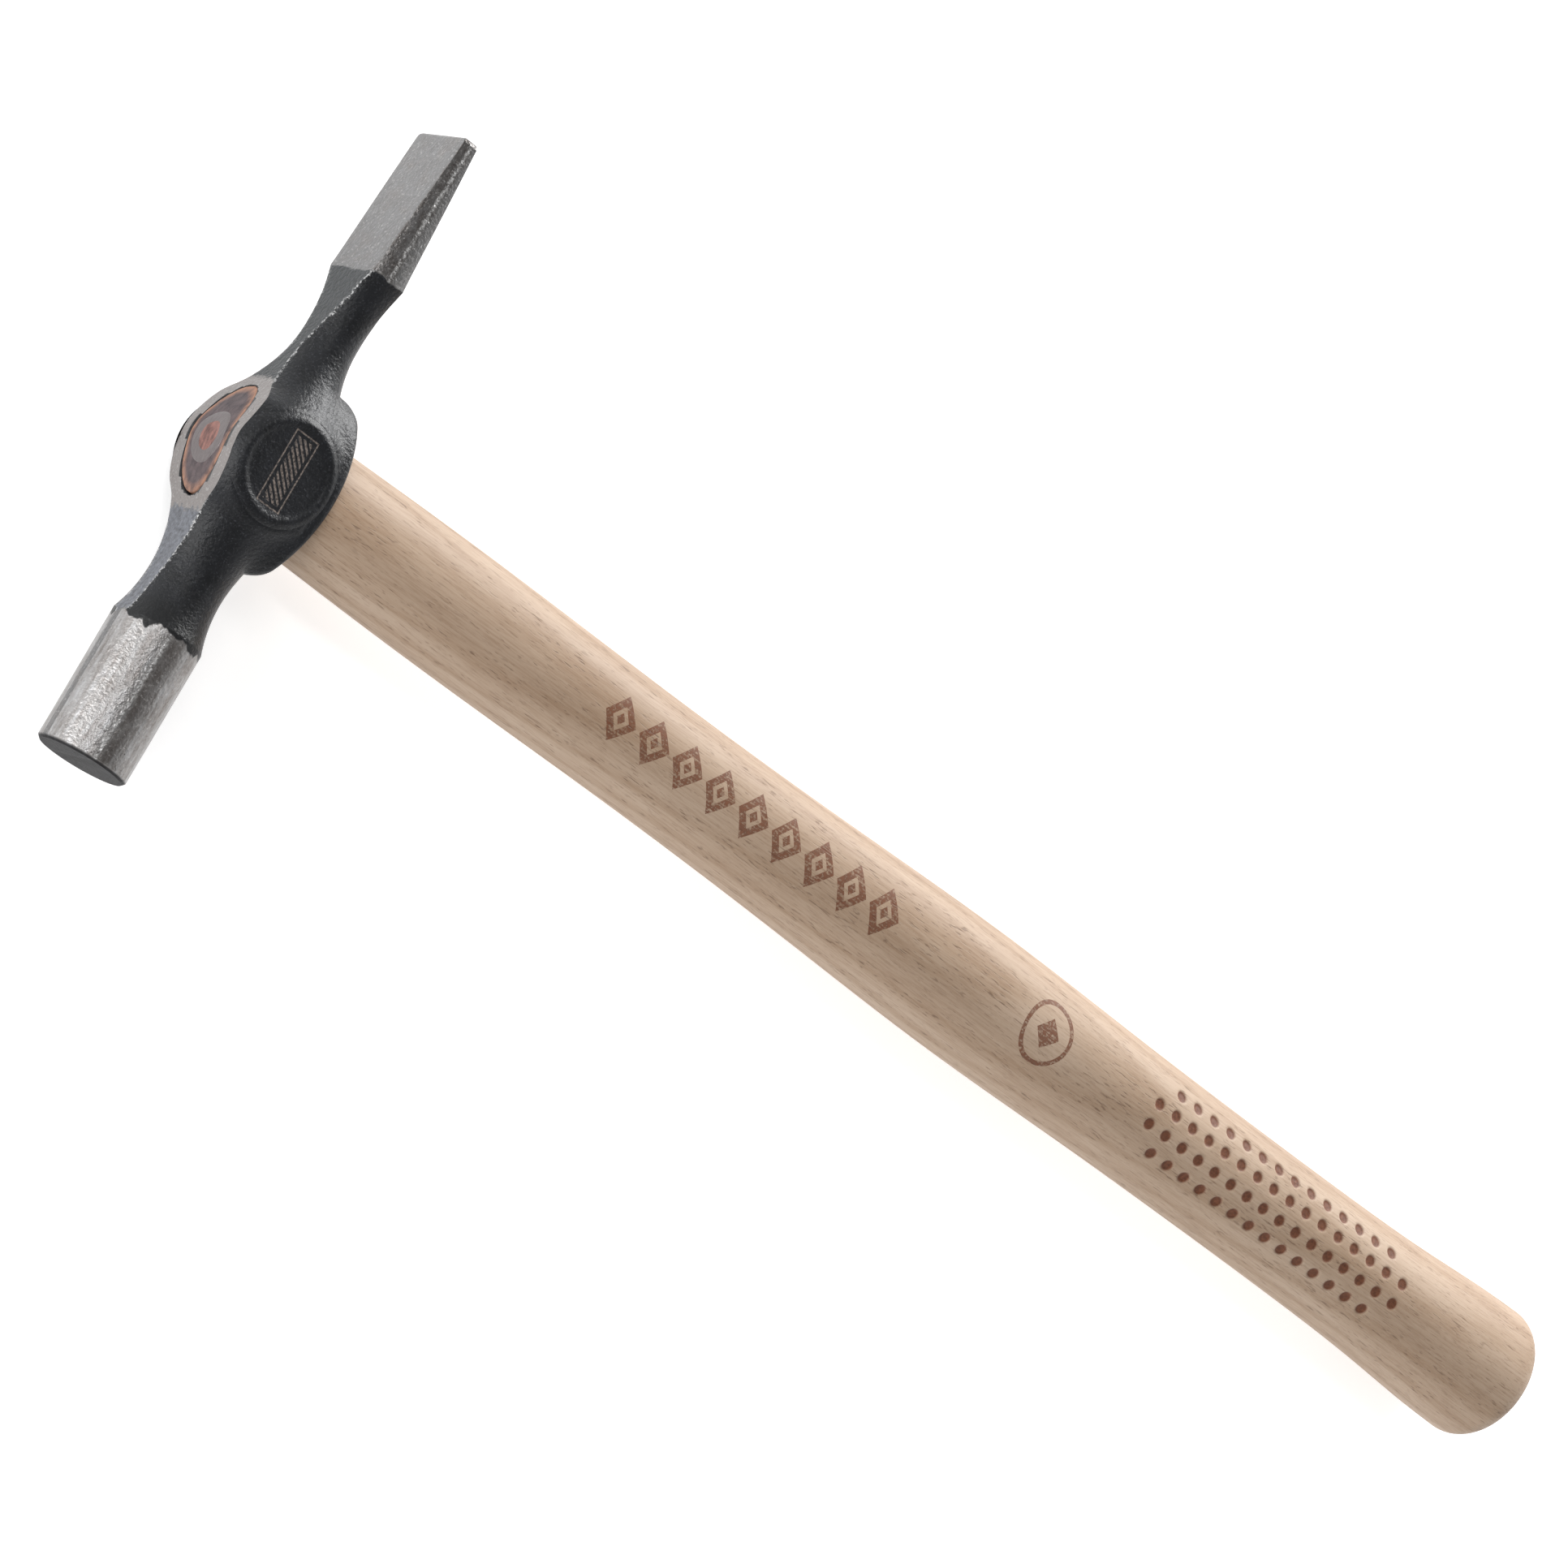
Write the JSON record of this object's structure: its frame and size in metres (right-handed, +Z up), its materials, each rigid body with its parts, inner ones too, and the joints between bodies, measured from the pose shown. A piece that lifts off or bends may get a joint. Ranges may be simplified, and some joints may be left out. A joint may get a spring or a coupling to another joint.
{
  "type": "cross-pein pin hammer",
  "caption": "Light joiner's hammer: round striking poll, slim necks, bulged oval eye and cross pein on a wedged one-piece ash handle with burnt grip dots.",
  "frame": {"origin": "on the surface the hammer lies on, under the middle of its bounding box", "axes": "+X along the handle from the head to the butt, +Y along the head from the poll to the cross pein, +Z up out of the upper cheek"},
  "size_m": [0.3032, 0.1102, 0.0241],
  "materials": {
    "head_steel": "satin blue-black paint on the necks and eye; bare ground steel on the poll, the pein and the crown of the eye",
    "handle_ash": "pale sanded ash, thin clear finish, brown burnt dots on the grip",
    "wedge_steel": "ground flush with the crown of the eye"
  },
  "bodies": {
    "root": {"head": "head_steel", "handle": "handle_ash", "ring_wedge": "wedge_steel"}
  },
  "joints": []
}
